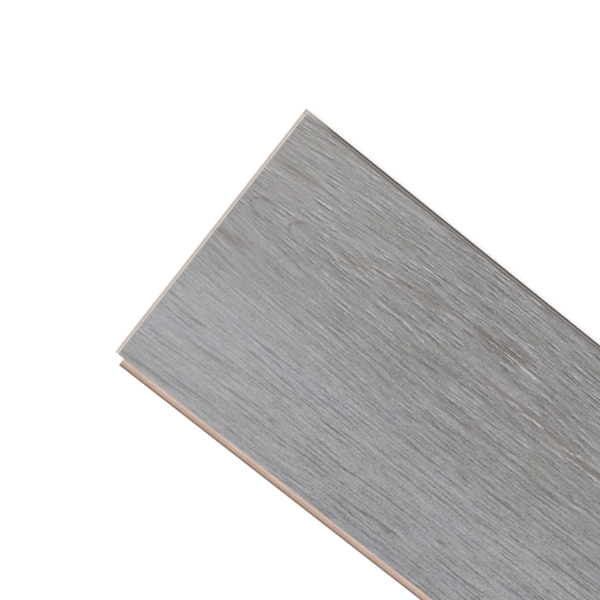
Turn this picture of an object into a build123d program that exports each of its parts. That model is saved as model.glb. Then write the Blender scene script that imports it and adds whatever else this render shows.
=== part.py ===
from build123d import *

import os
from dataclasses import dataclass
from math import radians, sqrt, tan

# Laminate floor plank with a click joint milled along all four edges.
#
# The plank lies face up. X runs along its length, Y across its width and Z up from its underside.
# The origin is on the underside, below the middle of the decor face.
# The long groove is on -Y and the long tongue on +Y. The end tongue is on -X and the end groove on +X.
#
# The core is the overlap of two milled sections, because the real board is run through the long-edge
# cutters first and the end cutters second, and each pass cuts its section from one side to the other.

# Board: the decor face runs from joint plane to joint plane
length = 1215.0
width = 195.0
thickness = 8.0

# Decor layer: a pressed skin that follows the eased edge round the face
decor_thickness = 0.3
bevel_run = 0.7
bevel_drop = 0.4

# Play between one plank's tongue and the next plank's groove
joint_clearance = 0.15

# Locking nose on the groove's lower lip, the same on all edges
nose_chamfer = 0.9
lock_height = 0.35
lock_angle = 60.0

# Long joint: shoulder is the wall between the decor face and the top of the tongue
long_shoulder = 2.8
long_tongue_reach = 3.9
long_heel_depth = 6.3
long_lip_reach = 4.9
long_nose_width = 0.6

# End joint: its heel passes over the long lip with this much room, so the long lip is milled back whole
end_shoulder = 1.8
end_tongue_reach = 2.3
end_heel_room = 0.25
end_lip_reach = 4.8
end_nose_width = 0.9

core_top = thickness - decor_thickness


@dataclass
class ClickJoint:
    """One angle-in joint. Distances run out from the joint plane and heights up from the underside.

    The tongue's heel and the lip's hollow are arcs about the upper corner of the joint plane, because
    that corner is the hinge when the next plank is angled in. The groove is the tongue's own outline,
    set off by the clearance.
    """

    shoulder: float
    tongue_reach: float
    heel_depth: float
    lip_reach: float
    nose_width: float

    @property
    def tongue_top(self):
        return thickness - self.shoulder

    @property
    def heel_radius(self):
        return self.heel_depth - joint_clearance

    @property
    def tip_radius(self):
        """The round of the tip that runs smoothly into the tongue's top and into its heel."""
        slack = self.heel_radius + self.shoulder - self.tongue_reach
        return sqrt(slack**2 + self.heel_radius**2 - self.shoulder**2 - self.tongue_reach**2) - slack

    @property
    def tip_center(self):
        return (self.tongue_reach - self.tip_radius, self.tongue_top - self.tip_radius)

    @property
    def flank_run(self):
        return lock_height / tan(radians(lock_angle))

    @property
    def lock_start(self):
        return self.lip_reach - nose_chamfer - self.nose_width - self.flank_run

    @property
    def nose_top(self):
        return self.hollow(self.lock_start) + lock_height

    def hollow(self, out):
        """Height of the lip's hollow at a distance from the joint plane."""
        return thickness - sqrt(self.heel_depth**2 - out**2)

    def heel(self, out):
        """Height of the tongue's heel, which clears the hollow."""
        return thickness - sqrt(self.heel_radius**2 - out**2)

    def tip_points(self, offset):
        """The tip round's start, outermost point and end, with the whole tongue set off by an offset."""
        center_out, center_height = self.tip_center
        radius = self.tip_radius + offset
        reach = (self.heel_radius + offset) / (self.heel_radius - self.tip_radius)
        start = (center_out, center_height + radius)
        outermost = (center_out + radius, center_height)
        end = (center_out * reach, thickness - (thickness - center_height) * reach)
        return start, outermost, end


def tongue_edge(joint, half_span, side):
    """Draws the tongue edge from the decor face to the underside, on one side of a section."""

    def at(out, height):
        return (side * (half_span + out), height)

    tip_start, tip_outermost, tip_end = (at(*point) for point in joint.tip_points(offset=0))
    heel_end = joint.lock_start - joint_clearance
    notch_top = joint.nose_top + joint_clearance
    notch_end = joint.lip_reach + joint_clearance

    Polyline(
        at(-bevel_run, core_top),
        at(0, core_top - bevel_drop),
        at(0, joint.tongue_top),
        tip_start,
    )
    ThreePointArc(tip_start, tip_outermost, tip_end)
    ThreePointArc(tip_end, at(0, joint.heel(0)), at(-heel_end, joint.heel(heel_end)))
    Polyline(
        at(-heel_end, joint.heel(heel_end)),
        at(-heel_end - joint.flank_run, notch_top),
        at(-notch_end, notch_top),
        at(-notch_end, 0),
    )


def groove_edge(joint, half_span, side):
    """Draws the groove edge and its locking lip, from the decor face to the underside."""

    def at(out, height):
        return (side * (half_span + out), height)

    slot_points = joint.tip_points(offset=joint_clearance)
    slot_start, slot_innermost, slot_end = (at(-out, height) for out, height in slot_points)
    lock_foot = at(joint.lock_start, joint.hollow(joint.lock_start))

    Polyline(
        at(-bevel_run, core_top),
        at(0, core_top - bevel_drop),
        at(0, joint.tongue_top + joint_clearance),
        slot_start,
    )
    ThreePointArc(slot_start, slot_innermost, slot_end)
    ThreePointArc(slot_end, at(0, joint.hollow(0)), lock_foot)
    Polyline(
        lock_foot,
        at(joint.lock_start + joint.flank_run, joint.nose_top),
        at(joint.lip_reach - nose_chamfer, joint.nose_top),
        at(joint.lip_reach, joint.nose_top - nose_chamfer),
        at(joint.lip_reach, 0),
    )


def milled_section(joint, half_span, groove_side):
    """Draws the closed outline that one pair of cutters leaves, with its groove on the given side."""
    groove_edge(joint, half_span, groove_side)
    tongue_edge(joint, half_span, -groove_side)
    face_half = half_span - bevel_run
    Line((-face_half, core_top), (face_half, core_top))
    lip_foot = groove_side * (half_span + joint.lip_reach)
    notch_foot = -groove_side * (half_span - joint.lip_reach - joint_clearance)
    Line((lip_foot, 0), (notch_foot, 0))


long_joint = ClickJoint(
    shoulder=long_shoulder,
    tongue_reach=long_tongue_reach,
    heel_depth=long_heel_depth,
    lip_reach=long_lip_reach,
    nose_width=long_nose_width,
)
end_joint = ClickJoint(
    shoulder=end_shoulder,
    tongue_reach=end_tongue_reach,
    heel_depth=thickness - long_joint.nose_top - end_heel_room,
    lip_reach=end_lip_reach,
    nose_width=end_nose_width,
)

# Core: the long section run the length of the board, cut to the end section run across it
with BuildPart() as core_board:
    with BuildSketch(Plane.YZ):
        with BuildLine():
            milled_section(long_joint, width / 2, groove_side=-1)
        make_face()
    extrude(amount=length, both=True)
    with BuildSketch(Plane.XZ):
        with BuildLine():
            milled_section(end_joint, length / 2, groove_side=1)
        make_face()
    extrude(amount=width, both=True, mode=Mode.INTERSECT)

# Decor layer: a slab with its upper edges eased, less the core that it is pressed onto
with BuildPart() as decor_layer:
    with BuildSketch(Plane.XY.offset(core_top - bevel_drop)):
        Rectangle(length, width)
    extrude(amount=bevel_drop + decor_thickness)
    face = decor_layer.faces().sort_by(Axis.Z)[-1]
    chamfer(face.edges(), length=bevel_run, length2=bevel_drop, reference=face)
    add(core_board.part, mode=Mode.SUBTRACT)

os.makedirs("parts", exist_ok=True)
core_board.part.label = "core_board"
export_step(core_board.part, "parts/core_board.step")
decor_layer.part.label = "decor_layer"
export_step(decor_layer.part, "parts/decor_layer.step")
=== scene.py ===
from math import pi, radians, tan

import bpy
import numpy as np
from mathutils import Matrix, Vector


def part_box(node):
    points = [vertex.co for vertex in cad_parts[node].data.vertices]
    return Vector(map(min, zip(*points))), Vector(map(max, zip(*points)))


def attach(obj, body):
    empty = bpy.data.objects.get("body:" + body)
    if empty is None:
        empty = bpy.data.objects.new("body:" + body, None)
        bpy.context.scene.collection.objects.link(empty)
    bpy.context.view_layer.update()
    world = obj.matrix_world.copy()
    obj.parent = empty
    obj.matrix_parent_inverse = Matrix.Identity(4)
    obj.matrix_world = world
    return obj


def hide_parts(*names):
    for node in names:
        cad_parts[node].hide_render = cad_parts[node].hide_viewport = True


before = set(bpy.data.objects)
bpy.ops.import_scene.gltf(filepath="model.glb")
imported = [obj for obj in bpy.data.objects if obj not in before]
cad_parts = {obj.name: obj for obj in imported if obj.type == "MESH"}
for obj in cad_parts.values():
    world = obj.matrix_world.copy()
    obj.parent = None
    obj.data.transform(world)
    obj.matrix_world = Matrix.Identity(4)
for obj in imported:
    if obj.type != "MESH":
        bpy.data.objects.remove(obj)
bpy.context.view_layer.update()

# Laminate floor plank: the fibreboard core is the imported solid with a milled-fibreboard finish, and the
# decor layer is a pressed skin with the pores of the oak grain in its mesh.
#
# Patterns are worked out in millimetres, because that is how a decor is drawn. Meshes are in metres.

mm = 0.001

# Decor skin: its thickness, its eased border, the cells of its face and the pores pressed into it
decor_thickness = 0.3
bevel_run = 0.7
bevel_drop = 0.4
cell_along = 3.5
cell_across = 0.72
pore_depth = 0.12
face_tolerance = 0.01
sharp_angle = radians(25)
grain_attribute = "grain"

# Figure of the oak: a board sawn beside the pith, whose line sways and dips under the face
pith_line = 38.0
sway_start = -600.0
far_sway = 10.0
far_sway_length = 800.0
far_sway_zone = (12.0, 68.0)
middle_sway = -3.5
middle_sway_length = 760.0
near_sway = 6.0
near_sway_length = 900.0
near_sway_zone = (-20.0, -75.0)
pith_depth = 17.0
pith_dip = 12.0
pith_dip_start = -570.0
pith_dip_length = 700.0
fibre_rounding = 34.0
ring_spacing = 3.6
ring_crowding = 0.004

# Straight-grained half: the spacing of its long pores and of its printed lines
long_pore_spacing = 3.3
line_spacing = 3.9

# Zones across the fibres over which the straight half turns into the figured half
figured_pores = (-88.0, 18.0)
figured_print = (-75.0, -26.0)

# Stretch from the tongue end over which the grain grows bolder, and its strength there
bold_stretch = (-600.0, -430.0)
bold_strength = (0.8, 1.4)

# Pores: how deep the small and the long ones are beside the short ones, and the contrast of their painted
# light and shade and of the long pores' dark print
small_pore_share = 0.7
long_pore_share = 0.35
short_pore_contrast = 1.15
long_pore_contrast = 0.62

# Finest relief, which the shaders give: of the decor and of the milled board
decor_relief = 0.4
board_relief = 0.08

# Steps between the layers of a pattern, so that no two layers are alike
noise_step = 7.3
dash_step_along = 13.1
dash_step_across = 5.7

# Brown heart streaks: place along and across the face, half length, half width, slant and strength
heart_streaks = (
    (-414, 59.0, 30, 6.0, 0.10, 0.46),
    (-486, 51.5, 60, 1.5, 0.14, 0.30),
    (-524, 42, 10, 2.4, 0.10, 0.45),
    (-588, 64, 24, 3.0, 0.12, 0.18),
    (-597, 5, 18, 2.2, 0.0, 0.40),
    (-591, -14, 13, 1.6, 0.0, 0.45),
    (-505, -71, 3, 1.2, 0.0, 0.60),
    (-345, 33, 90, 2.6, -0.05, 0.45),
    (-215, 61, 60, 2.2, -0.08, 0.45),
    (-40, 20, 110, 3.0, 0.05, 0.40),
    (150, 52, 70, 2.4, 0.06, 0.50),
    (330, 24, 95, 3.2, -0.04, 0.45),
    (500, 41, 55, 2.6, -0.08, 0.50),
)

# Olive stains, given in the same way
olive_stains = (
    (-468, 19, 10, 3.2, -0.45, 0.45),
    (-524, 40, 14, 3.4, 0.10, 0.40),
    (-590, 66, 20, 5.0, 0.12, 0.35),
    (-250, 12, 30, 6.0, 0.0, 0.45),
    (40, 66, 40, 6.0, 0.0, 0.45),
    (400, -8, 45, 7.0, 0.0, 0.45),
)

# Eyes where a ring closes: place along and across the face, half length and half width
ring_eyes = (
    (-550, 35.5, 22, 8.5),
    (-588, 32.5, 13, 6.0),
    (-345, 55, 24, 7.0),
    (-15, 44, 26, 8.0),
    (272, 38, 22, 7.0),
    (565, 30, 22, 7.0),
)

# Photograph's camera: the point of the face in mid frame, the lean of the line of sight and the roll
aim = (-537.44, 0.95, 8.0)
lean_along = radians(5.5414)
lean_across = radians(7.4757)
roll = radians(-37.8425)
distance = 1200.0
lens_pixels = 1877.07
frame_pixels = 600
sensor_width = 36.0

# Studio: a floor just under the plank, a broad light and a surround that looks white and lights less
floor_grey = 0.28
floor_glow = 0.77
floor_gap = 0.2
floor_half_width = 40000.0
light_strength = 1.72
light_spread = radians(35)
light_heading = (0.68, 0.73)
light_fall = tan(radians(50))
surround_strength = 0.58


def add_node(tree, kind, inputs=None, **options):
    """Adds a node, sets its options, and fills its named or numbered inputs with fields or values."""
    node = tree.nodes.new(kind)
    for name, value in options.items():
        setattr(node, name, value)
    for key, value in (inputs or {}).items():
        if isinstance(value, Field):
            tree.links.new(value.socket, node.inputs[key])
        elif isinstance(value, bpy.types.NodeSocket):
            tree.links.new(value, node.inputs[key])
        else:
            node.inputs[key].default_value = value
    return node


class Field:
    """A number that varies over a surface. Arithmetic on it adds Math nodes to its tree."""

    def __init__(self, socket):
        self.socket = socket

    @property
    def tree(self):
        return self.socket.id_data

    def math(self, operation, *others):
        inputs = dict(enumerate((self, *others)))
        node = add_node(self.tree, "ShaderNodeMath", inputs, operation=operation)
        return Field(node.outputs[0])

    def __add__(self, other):
        return self.math("ADD", other)

    def __sub__(self, other):
        return self.math("SUBTRACT", other)

    def __mul__(self, other):
        return self.math("MULTIPLY", other)

    def __truediv__(self, other):
        return self.math("DIVIDE", other)

    __radd__ = __add__
    __rmul__ = __mul__

    def __rsub__(self, other):
        return self.math("MULTIPLY_ADD", -1.0, other)

    def sine(self):
        return self.math("SINE")

    def root(self):
        return self.math("SQRT")

    def squared(self):
        return self.math("POWER", 2.0)

    def size(self):
        return self.math("ABSOLUTE")

    def at_least(self, other):
        return self.math("MAXIMUM", other)

    def rise(self, low, high, start=0.0, end=1.0):
        """Goes smoothly from start to end while the field goes from low to high."""
        inputs = {"Value": self, "From Min": low, "From Max": high, "To Min": start, "To Max": end}
        node = add_node(
            self.tree,
            "ShaderNodeMapRange",
            inputs,
            interpolation_type="SMOOTHSTEP",
            clamp=True,
        )
        return Field(node.outputs[0])


def split(tree, vector):
    """The three parts of a vector as fields."""
    node = add_node(tree, "ShaderNodeSeparateXYZ", {0: vector})
    return [Field(socket) for socket in node.outputs]


def join(tree, *parts):
    """A vector made of up to three fields or values."""
    return add_node(tree, "ShaderNodeCombineXYZ", dict(enumerate(parts))).outputs[0]


def noise(along, across, length, width, layer, detail=2.0):
    """Noise from 0 to 1 whose features are about as long and as wide as given. Layers differ."""
    place = join(along.tree, along / length, across / width, noise_step * layer)
    inputs = {"Vector": place, "Scale": 1.0, "Detail": detail, "Roughness": 0.5}
    return Field(add_node(along.tree, "ShaderNodeTexNoise", inputs).outputs[0])


def ripple(along, across, amount, length, width, layer, detail=2.0):
    """Noise about zero that goes half the amount to each side."""
    return (noise(along, across, length, width, layer, detail) - 0.5) * amount


def oval(over, up, half_length, half_width):
    """Squared distance from the middle of an oval, which is 1 at its edge."""
    return (over / half_length).squared() + (up / half_width).squared()


def mix(tree, amount, base, other):
    """Mixes another colour into a base colour."""
    inputs = {0: amount, 6: base, 7: other}
    return add_node(tree, "ShaderNodeMix", inputs, data_type="RGBA").outputs[2]


def tint(tree, amount, base, hue):
    """Mixes a tinted copy of a base colour into it, so that a pale base stays pale."""
    tinted = add_node(tree, "ShaderNodeVectorMath", {0: base, 1: hue}, operation="MULTIPLY")
    return mix(tree, amount, base, tinted.outputs[0])


def shade_by(tree, colour, amount):
    """A colour made paler or darker by an amount."""
    inputs = {0: colour, "Scale": amount}
    return add_node(tree, "ShaderNodeVectorMath", inputs, operation="SCALE").outputs[0]


def face_half_sizes():
    """Half the length and half the width of the decor face, in millimetres."""
    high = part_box("decor_layer")[1]
    return high[0] / mm, high[1] / mm


def oak_flow(x, y):
    """Lays the oak over the face. Gives the place across its fibres and the distance from its pith."""

    def sway(reach, length):
        """A sideways sway of the fibres along the board."""
        return ((x - sway_start) * (2 * pi / length)).sine() * reach

    far = y.rise(*far_sway_zone)
    near = y.rise(*near_sway_zone)
    swing = sway(far_sway, far_sway_length) * far + sway(near_sway, near_sway_length) * near
    swing = swing + sway(middle_sway, middle_sway_length) * (1.0 - far - near)
    depth = pith_depth - ((x - pith_dip_start) * (2 * pi / pith_dip_length)).sine() * pith_dip
    wander = ripple(x, y, 5.0, length=120, width=40, layer=1)
    wander = wander + ripple(x, y, 1.2, length=36, width=13, layer=2)
    out = y - pith_line - swing + wander
    across = out + depth * depth * out / (out * out + fibre_rounding**2) * 0.5
    ring = (out * out + depth * depth).root() + ripple(x, y, 3.0, length=50, width=16, layer=3)
    return across, ring


def eye_noses(x, y):
    """The noses of the ring eyes: the calm patch inside each one, and the soft line round it."""
    calm, outline = 0.0, 0.0
    broken = noise(x, y, length=6, width=3, layer=29).rise(0.35, 0.6, 0.5, 1.0)
    x = x + ripple(x, y, 4.0, length=9, width=5, layer=27)
    y = y + ripple(x, y, 3.0, length=12, width=4, layer=28)
    for middle_x, middle_y, half_length, half_width in ring_eyes:
        over, up = x - middle_x, y - middle_y
        steepness = oval(over, up, half_length**2, half_width**2).root() * 2.0
        outside = (oval(over, up, half_length, half_width) - 1.0) / steepness
        patch_end = over.rise(half_length * -0.1, half_length * -0.55)
        line_end = over.rise(half_length * 0.5, half_length * -0.5)
        calm = outside.rise(0.6, -2.0) * patch_end + calm
        outline = outside.size().rise(2.2, 0.0) * line_end + outline
    return calm, outline * broken


def boldness(along):
    """The grain grows bolder away from the tongue end."""
    return along.rise(*bold_stretch, *bold_strength)


def straight_lines(along, across, spacing, layer):
    """Lines along the grain that wander and crowd about an even spacing, from -1 to 1."""
    wander = ripple(along, across, spacing * 2.6, length=70, width=spacing * 1.7, layer=layer)
    return ((across + wander) * (2 * pi / spacing)).sine()


def dashes(along, across, length, width, layer):
    """Scattered lens-shaped dashes, one to a cell.

    Gives their body, the place across each one, and a number from 0 to 1 that each one draws.
    """
    across_cells = across / width + dash_step_across * layer
    cells = join(along.tree, along / length + dash_step_along * layer, across_cells)
    inputs = {"Vector": cells, "Scale": 1.0, "Randomness": 1.0}
    node = add_node(along.tree, "ShaderNodeTexVoronoi", inputs, voronoi_dimensions="2D")
    body = Field(node.outputs["Distance"]).rise(0.50, 0.12)
    offset = across_cells - split(along.tree, node.outputs["Position"])[1]
    chance = split(along.tree, node.outputs["Color"])[0]
    return body, offset, chance


def oak_pores(along, across, ring, calm):
    """The brushed pores, short in the figured half and long in the straight half.

    Gives their depth, from 0 to 1, their painted highlight on the lit side, and their painted shade with
    the long pores' print.
    """
    figured = across.rise(*figured_pores)
    ragged = across + ripple(along, across, 1.7, length=4, width=1.4, layer=30)

    crowded = ring * (ring * ring_crowding + 1.0)
    bands = (crowded * (2 * pi / ring_spacing)).sine().rise(-0.5, 0.7, 0.3, 1.0)
    groups = noise(along, across, length=26, width=5, layer=6).rise(0.4, 0.56, 0.15, 1.0)
    short, short_offset, chance = dashes(along, ragged, length=25, width=2.7, layer=1)
    short = short * chance.rise(0.0, 0.5, 0.3, 1.0) * bands * groups * (1.0 - calm) * figured

    small, small_offset, chance = dashes(along, ragged, length=18, width=2.3, layer=2)
    small = small * chance.rise(0.1, 0.8) * (figured * 0.8 + 0.2) * (1.0 - calm) * small_pore_share

    threads = straight_lines(along, ragged, long_pore_spacing, layer=4)
    thinned = noise(along, across, length=28, width=3, layer=5).rise(0.42, 0.6, 0.12, 1.0)
    long = threads.rise(0.2, 1.0) * thinned * (1.0 - figured * 0.95)

    depth = short.at_least(small).at_least(long * long_pore_share)
    short = short * short_pore_contrast
    # Painted highlight on the side of each pore that faces the light, painted shade on the other side
    lit = short * short_offset.rise(-0.04, 0.2) + small * small_offset.rise(-0.04, 0.2)
    dark = short * short_offset.rise(0.04, -0.2) + small * small_offset.rise(0.04, -0.2)
    bold = boldness(along)
    return depth, lit * bold, (dark + long * long_pore_contrast) * bold


def decor_blank():
    """The decor skin before pressing: a closed skin with an eased border and a fine grid on its face."""
    low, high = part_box("decor_layer")
    run = bevel_run * mm

    def grid_lines(start, end, cell):
        """Grid lines from edge to edge, with the first and last cell as wide as the eased border."""
        count = round((end - start - 2 * run) / (cell * mm))
        inner = np.linspace(start + run, end - run, count + 1)
        return np.concatenate([[start], inner, [end]])

    xs = grid_lines(low[0], high[0], cell_along)
    ys = grid_lines(low[1], high[1], cell_across)
    rows = len(ys)
    last_column, last_row = len(xs) - 1, len(ys) - 1
    x, y = np.meshgrid(xs, ys, indexing="ij")
    z = np.full_like(x, high[2] - bevel_drop * mm)
    z[1:-1, 1:-1] = high[2]
    face_points = np.stack([x, y, z], axis=-1).reshape(-1, 3)

    def at(column, row):
        """Number of a grid point."""
        return column * rows + row

    i, j = np.meshgrid(np.arange(last_column), np.arange(last_row), indexing="ij")
    quads = np.stack([at(i, j), at(i + 1, j), at(i + 1, j + 1), at(i, j + 1)], axis=-1)
    corner = np.zeros(i.shape, dtype=bool)
    corner[[0, 0, -1, -1], [0, -1, 0, -1]] = True
    faces = quads[~corner].tolist()

    # The border's corner cells are folded along their mitres
    for a, b, c, d in quads[[0, -1], [0, -1]].tolist():
        faces += [[a, b, c], [a, c, d]]
    for a, b, c, d in quads[[-1, 0], [0, -1]].tolist():
        faces += [[a, b, d], [b, c, d]]

    def loop(inset):
        """Grid points round the border, counter-clockwise from above, some cells in from the edge."""
        left, right, near, far = inset, last_column - inset, inset, last_row - inset
        around = [at(k, near) for k in range(left, right)]
        around += [at(right, k) for k in range(near, far)]
        around += [at(k, far) for k in range(right, left, -1)]
        around += [at(left, k) for k in range(far, near, -1)]
        return around

    def inward(point):
        """The inner border point beside an outer one."""
        column, row = divmod(point, rows)
        return at(min(max(column, 1), last_column - 1), min(max(row, 1), last_row - 1))

    # The underside is the border again, one thickness lower, closed by one flat face
    outer, inner = loop(0), loop(1)
    first = len(face_points)
    below_outer = dict(zip(outer, range(first, first + len(outer))))
    first += len(outer)
    below_inner = dict(zip(inner, range(first, first + len(inner))))
    under_points = face_points[outer + inner] - np.array([0.0, 0.0, decor_thickness * mm])
    for a, b in zip(outer, outer[1:] + outer[:1]):
        faces.append([b, a, below_outer[a], below_outer[b]])
        strip = [below_outer[b], below_outer[a], below_inner[inward(a)], below_inner[inward(b)]]
        faces.append(list(dict.fromkeys(strip)))
    faces.append([below_inner[point] for point in reversed(inner)])

    mesh = bpy.data.meshes.new("decor_skin")
    mesh.from_pydata(np.concatenate([face_points, under_points]).tolist(), [], faces)
    mesh.validate()
    piece = bpy.data.objects.new("decor_skin", mesh)
    bpy.context.scene.collection.objects.link(piece)
    return piece


def press_tree(finish):
    """Geometry nodes that lay the oak's grain over a flat decor skin and press its pores into it."""
    tree = bpy.data.node_groups.new("press_oak_grain", "GeometryNodeTree")
    tree.interface.new_socket("Skin", in_out="INPUT", socket_type="NodeSocketGeometry")
    tree.interface.new_socket("Face Height", in_out="INPUT", socket_type="NodeSocketFloat")
    tree.interface.new_socket("Pore Depth", in_out="INPUT", socket_type="NodeSocketFloat")
    tree.interface.new_socket("Pressed Skin", in_out="OUTPUT", socket_type="NodeSocketGeometry")
    given = add_node(tree, "NodeGroupInput")
    x, y, z = split(tree, add_node(tree, "GeometryNodeInputPosition").outputs[0])
    along, aside = x / mm, y / mm
    across, ring = oak_flow(along, aside)
    laid = add_node(
        tree,
        "GeometryNodeStoreNamedAttribute",
        {
            "Geometry": given.outputs["Skin"],
            "Name": grain_attribute,
            "Value": join(tree, along, across, ring),
        },
        data_type="FLOAT_VECTOR",
        domain="POINT",
    )
    calm = eye_noses(along, aside)[0]
    depth = oak_pores(along, across, ring, calm)[0]
    pressed = add_node(
        tree,
        "GeometryNodeSetPosition",
        {
            "Geometry": laid.outputs["Geometry"],
            "Selection": z.math("COMPARE", given.outputs["Face Height"], face_tolerance * mm),
            "Offset": join(tree, 0.0, 0.0, depth * Field(given.outputs["Pore Depth"]) * -1.0),
        },
    )
    whole = add_node(tree, "GeometryNodeRealizeInstances", {"Geometry": pressed.outputs["Geometry"]})
    finished = add_node(
        tree,
        "GeometryNodeSetMaterial",
        {"Geometry": whole.outputs["Geometry"], "Material": finish},
    )
    add_node(tree, "NodeGroupOutput", {"Pressed Skin": finished.outputs["Geometry"]})
    return tree


def pressed_decor(finish):
    """Presses the grain into the blank and keeps the result as a plain mesh."""
    piece = decor_blank()
    tree = press_tree(finish)
    press = piece.modifiers.new("press", "NODES")
    press.node_group = tree
    sockets = tree.interface.items_tree
    inputs = {socket.name: socket.identifier for socket in sockets if socket.in_out == "INPUT"}
    press[inputs["Face Height"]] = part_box("decor_layer")[1][2]
    press[inputs["Pore Depth"]] = pore_depth * mm
    depsgraph = bpy.context.evaluated_depsgraph_get()
    mesh = bpy.data.meshes.new_from_object(
        piece.evaluated_get(depsgraph),
        preserve_all_data_layers=True,
        depsgraph=depsgraph,
    )
    piece.modifiers.remove(press)
    blank = piece.data
    piece.data = mesh
    bpy.data.meshes.remove(blank)
    mesh.name = "decor_skin"
    mesh.shade_smooth()
    mesh.set_sharp_from_angle(angle=sharp_angle)
    return piece


def new_material(name):
    """An empty material with a principled shader. Gives the material, its tree and the shader."""
    material = bpy.data.materials.new(name)
    material.use_nodes = True
    tree = material.node_tree
    tree.nodes.clear()
    shader = add_node(tree, "ShaderNodeBsdfPrincipled")
    add_node(tree, "ShaderNodeOutputMaterial", {"Surface": shader.outputs[0]})
    return material, tree, shader


def grey_oak_print():
    """Satin melamine over a printed grey oak, straight-grained on one side and figured on the other, with
    painted light and shade on its pores and far edge.
    """
    material, tree, shader = new_material("grey_oak_melamine")
    flow = add_node(tree, "ShaderNodeAttribute", attribute_name=grain_attribute)
    along, across, ring = split(tree, flow.outputs["Vector"])
    place = add_node(tree, "ShaderNodeTexCoord").outputs["Object"]
    x, y = (part / mm for part in split(tree, place)[:2])
    figured = across.rise(*figured_print)
    calm, outline = eye_noses(x, y)
    depth, lit, dark = oak_pores(along, across, ring, calm)

    straight_grey = (0.363, 0.362, 0.370, 1)
    figured_grey = (0.325, 0.315, 0.312, 1)
    lavender = (1.00, 0.98, 1.11)
    olive = (0.96, 0.95, 0.85)
    lime_and_highlight_grey = (0.530, 0.520, 0.520, 1)
    ring_brown = (0.205, 0.188, 0.177, 1)
    heart_brown = (0.190, 0.129, 0.088, 1)
    stain_olive = (0.215, 0.203, 0.145, 1)
    pore_and_shade_grey = (0.170, 0.163, 0.163, 1)

    # Ground: the greys of the two halves, with faint lavender and olive clouds
    colour = mix(tree, figured, straight_grey, figured_grey)
    cool = noise(along, across, length=60, width=14, layer=11, detail=4.0)
    colour = tint(tree, cool.rise(0.48, 0.68, 0.0, 0.5), colour, lavender)
    warm = noise(along, across, length=45, width=9, layer=12, detail=4.0)
    colour = tint(tree, warm.rise(0.50, 0.70, 0.0, 0.4), colour, olive)

    # Growth rings, dark and limed
    rings = noise(along, ring, length=280, width=2.6, layer=13, detail=3.0)
    colour = mix(tree, rings.rise(0.49, 0.33) * (figured * 0.22 + 0.08), colour, ring_brown)
    colour = mix(tree, rings.rise(0.54, 0.70) * (figured * 0.15 + 0.04), colour, lime_and_highlight_grey)

    # Stains, heart streaks and ring eyes, all with uneven outlines
    blot_x = x + ripple(x, y, 12.0, length=26, width=10, layer=22)
    blot_y = y + ripple(x, y, 4.0, length=14, width=5, layer=23)
    for blots, hue in ((olive_stains, stain_olive), (heart_streaks, heart_brown)):
        for middle_x, middle_y, half_length, half_width, slant, strength in blots:
            over = blot_x - middle_x
            up = blot_y - middle_y - over * slant
            body = oval(over, up, half_length, half_width).rise(1.0, 0.0)
            colour = mix(tree, body * strength, colour, hue)
    colour = mix(tree, outline * 0.85, colour, ring_brown)

    # Pores: painted highlight on their lit sides, painted shade on their dark sides, and the long pores
    # printed dark
    colour = mix(tree, lit, colour, lime_and_highlight_grey)
    colour = mix(tree, dark * 0.9, colour, pore_and_shade_grey)

    # Fine texture, from streaks as long as the pores down to the mottle of the print
    streaks = ripple(along, across, figured * 0.3 + 0.08, length=32, width=1.7, layer=15, detail=0.0)
    straight = across.rise(-105, -70) * across.rise(-12, -45)
    lines = straight_lines(along, across, line_spacing, layer=24)
    lines = lines * (straight * 0.02 + 0.05 - figured * 0.015)
    strands = ripple(along, across, 0.45, length=18, width=1.5, layer=21)
    fibres = ripple(along, across, 0.25, length=6, width=0.8, layer=16, detail=3.0)
    mottle = ripple(x, y, 0.7, length=1.5, width=1.3, layer=20, detail=1.0)
    clouds = ripple(x, y, 0.25, length=5, width=3.2, layer=25, detail=1.0)
    texture = (streaks + lines + strands + fibres + mottle + clouds) * boldness(along) + 1.0

    # Broad tone: paler at the tongue end, darker in bands along the face
    tone = x.rise(-600, -400, 1.01, 0.87) + ripple(x, y, 0.07, length=160, width=60, layer=26)
    tone = tone - y.rise(58, 34) * y.rise(-50, -10) * 0.05
    tone = tone - y.rise(-70, -92) * 0.07
    tone = tone - y.rise(30, 72) * x.rise(-575, -500) * 0.07

    # Eased border: painted light on the far edge, which faces away from the light, and the whole border a
    # touch darker
    face_half_length, face_half_width = face_half_sizes()
    past_far = y - face_half_width + bevel_run
    past_face = (x.size() - face_half_length).at_least(y.size() - face_half_width) + bevel_run
    painted_bevel_light = past_far.rise(-0.1, 0.15, 1.0, 1.18) * past_face.rise(-0.1, 0.15, 1.0, 0.98)
    tree.links.new(shade_by(tree, colour, texture * tone * painted_bevel_light), shader.inputs["Base Color"])

    gloss = noise(along, across, length=20, width=1.5, layer=17).rise(0.2, 0.8, 0.44, 0.56)
    gloss = gloss + depth * 0.08
    tree.links.new(gloss.socket, shader.inputs["Roughness"])
    height = noise(along, across, length=5, width=0.45, layer=18) * 0.1 - depth
    relief = {"Strength": 1.0, "Distance": decor_relief * mm, "Height": height}
    bump = add_node(tree, "ShaderNodeBump", relief)
    tree.links.new(bump.outputs[0], shader.inputs["Normal"])
    return material


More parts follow.
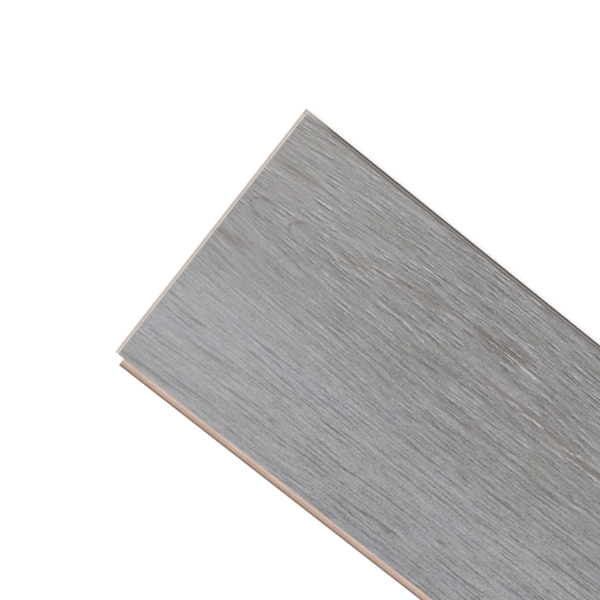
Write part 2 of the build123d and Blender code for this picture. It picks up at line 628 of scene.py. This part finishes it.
def milled_fibreboard():
    """Fine fibreboard as the cutters leave it, with painted shade along its joint edges and a kraft
    backing paper on the underside.
    """
    material, tree, shader = new_material("milled_fibreboard")
    place = add_node(tree, "ShaderNodeTexCoord").outputs["Object"]
    x, y, z = (part / mm for part in split(tree, place))
    spot = join(tree, x, y, z)

    def grain(size, detail, packing=(1, 1, 1)):
        """Noise from 0 to 1 with features of about a size. A packing under 1 draws them out."""
        mapped = add_node(tree, "ShaderNodeMapping", {"Vector": spot, "Scale": packing})
        inputs = {"Vector": mapped.outputs[0], "Scale": 1 / size, "Detail": detail, "Roughness": 0.6}
        return Field(add_node(tree, "ShaderNodeTexNoise", inputs).outputs[0])

    board_tan = (0.760, 0.585, 0.490, 1)
    edge_cream = (0.830, 0.745, 0.710, 1)
    foot_shadow_grey = (0.400, 0.375, 0.360, 1)
    tongue_cream = (0.690, 0.640, 0.600, 1)
    fibre_and_shade_brown = (0.300, 0.210, 0.165, 1)
    fibre_pale = (0.740, 0.640, 0.560, 1)
    nose_shade_brown = (0.190, 0.118, 0.088, 1)
    tongue_shade_grey = (0.105, 0.086, 0.077, 1)
    kraft = (0.330, 0.255, 0.190)

    # Distances out from the edges of the face
    face_half_length, face_half_width = face_half_sizes()
    past_far = y - face_half_width
    past_near = y * -1.0 - face_half_width
    past_left = x * -1.0 - face_half_length
    past_right = x - face_half_length
    over_lip = past_near.at_least(past_right)

    # Board: paler towards the face and on the far tongue, with a cream band and a painted shadow line at
    # the lips' foot
    pale = z.rise(4.6, 6.0).at_least(past_far.rise(0.0, 0.4) * z.rise(4.4, 5.0))
    colour = mix(tree, pale, board_tan, tongue_cream)
    band = over_lip.rise(0.1, 0.7) * over_lip.rise(1.8, 1.0)
    colour = mix(tree, band, colour, edge_cream)
    foot_shadow = over_lip.rise(0.02, 0.1) * over_lip.rise(0.6, 0.3)
    colour = mix(tree, foot_shadow * 0.7, colour, foot_shadow_grey)

    # Fibres: pressed layers, pale flecks and dark darts
    layers = grain(3.0, 2.0, packing=(0.15, 0.15, 1.6)).rise(0.35, 0.65, 0.0, 0.16)
    colour = mix(tree, layers, colour, fibre_and_shade_brown)
    flecks = grain(0.8, 3.0).rise(0.55, 0.75, 0.0, 0.4)
    colour = mix(tree, flecks, colour, fibre_pale)
    darts = grain(0.6, 2.0, packing=(0.4, 0.4, 1.0)).rise(0.58, 0.74, 0.0, 0.35)
    colour = mix(tree, darts, colour, fibre_and_shade_brown)

    # Painted shade on the lips' noses and on the far tongue, where it thins towards the ends
    nose = over_lip.rise(3.35, 4.0) * z.rise(1.2, 1.9)
    colour = mix(tree, nose * 0.92, colour, nose_shade_brown)
    # Painted shade on the far tongue: under the face's edge, lighter across its top, darkest at its
    # rounded tip
    tongue_shade = past_far.rise(1.1, 1.7, 0.68, 0.54) + past_far.rise(2.1, 2.5, 0.0, 0.50)
    tongue_shade = tongue_shade * x.size().rise(face_half_length + 2, face_half_length - 26, 0.2, 1.0)
    colour = mix(tree, tongue_shade * past_far.rise(0.0, 0.3) * z.rise(5.6, 5.3), colour, tongue_shade_grey)

    # A painted shadow line along the end tongue
    step_shadow = (past_left - 1.35).size().rise(0.45, 0.1)
    colour = mix(tree, step_shadow * 0.6, colour, fibre_and_shade_brown)

    # Backing paper
    weave = grain(6.0, 4.0, packing=(0.3, 1.0, 1.0)).rise(0.3, 0.7, 0.86, 1.1)
    colour = mix(tree, z.rise(0.05, 0.12, 1.0, 0.0), colour, shade_by(tree, kraft, weave))
    tree.links.new(colour, shader.inputs["Base Color"])

    rough = grain(1.2, 2.0).rise(0.3, 0.7, 0.72, 0.88)
    tree.links.new(rough.socket, shader.inputs["Roughness"])
    relief = {"Strength": 0.6, "Distance": board_relief * mm, "Height": grain(0.5, 3.0)}
    bump = add_node(tree, "ShaderNodeBump", relief)
    tree.links.new(bump.outputs[0], shader.inputs["Normal"])
    return material


def look_ray(tree):
    """One for the rays that show the background: straight to the camera, mirrored or through glass."""
    path = add_node(tree, "ShaderNodeLightPath")
    seen = Field(path.outputs["Is Camera Ray"])
    for other in ("Is Glossy Ray", "Is Transmission Ray"):
        seen = seen.at_least(path.outputs[other])
    return seen


def studio_floor():
    """A pale floor that reads as white and keeps a soft shadow under the plank."""
    material, tree, shader = new_material("studio_floor")
    shader.inputs["Base Color"].default_value = (floor_grey, floor_grey, floor_grey, 1)
    shader.inputs["Roughness"].default_value = 1.0
    shader.inputs["Specular IOR Level"].default_value = 0.0
    shader.inputs["Emission Color"].default_value = (1, 1, 1, 1)
    glow = look_ray(tree) * floor_glow
    tree.links.new(glow.socket, shader.inputs["Emission Strength"])
    half = floor_half_width * mm
    level = -floor_gap * mm
    corners = [(-half, -half, level), (half, -half, level), (half, half, level), (-half, half, level)]
    mesh = bpy.data.meshes.new("studio_floor")
    mesh.from_pydata(corners, [], [(0, 1, 2, 3)])
    mesh.materials.append(material)
    floor = bpy.data.objects.new("studio_floor", mesh)
    bpy.context.scene.collection.objects.link(floor)


def studio_light():
    """One broad soft light from the photograph's left, and an even white surround."""
    sun = bpy.data.lights.new("window_light", "SUN")
    sun.energy = light_strength
    sun.angle = light_spread
    lamp = bpy.data.objects.new("window_light", sun)
    shine = Vector((*light_heading, -light_fall))
    lamp.rotation_euler = shine.to_track_quat("-Z", "Y").to_euler()
    bpy.context.scene.collection.objects.link(lamp)

    world = bpy.data.worlds.new("surround")
    world.use_nodes = True
    tree = world.node_tree
    tree.nodes.clear()
    strength = look_ray(tree) * (1 - surround_strength) + surround_strength
    back = add_node(tree, "ShaderNodeBackground", {"Color": (1, 1, 1, 1), "Strength": strength})
    add_node(tree, "ShaderNodeOutputWorld", {"Surface": back.outputs[0]})
    bpy.context.scene.world = world


def photo_camera():
    """The photograph's camera, almost straight above the end of the plank."""
    back = Vector((-tan(lean_along), -tan(lean_across), 1.0)).normalized()
    up_hint = Vector((np.sin(roll), np.cos(roll), 0.0))
    right = up_hint.cross(back).normalized()
    up = back.cross(right)
    turn = Matrix((right, up, back)).transposed().to_4x4()
    lens = bpy.data.cameras.new("photo_camera")
    lens.sensor_width = sensor_width
    lens.lens = lens_pixels / frame_pixels * sensor_width
    lens.clip_end = 100.0
    camera = bpy.data.objects.new("photo_camera", lens)
    camera.matrix_world = Matrix.Translation((Vector(aim) + back * distance) * mm) @ turn
    bpy.context.scene.collection.objects.link(camera)
    bpy.context.scene.camera = camera


bpy.context.scene.view_settings.view_transform = "Standard"
photo_camera()

decor = pressed_decor(grey_oak_print())
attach(decor, "root")
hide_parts("decor_layer")

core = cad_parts["core_board"]
core.data.materials.clear()
core.data.materials.append(milled_fibreboard())

studio_floor()
studio_light()
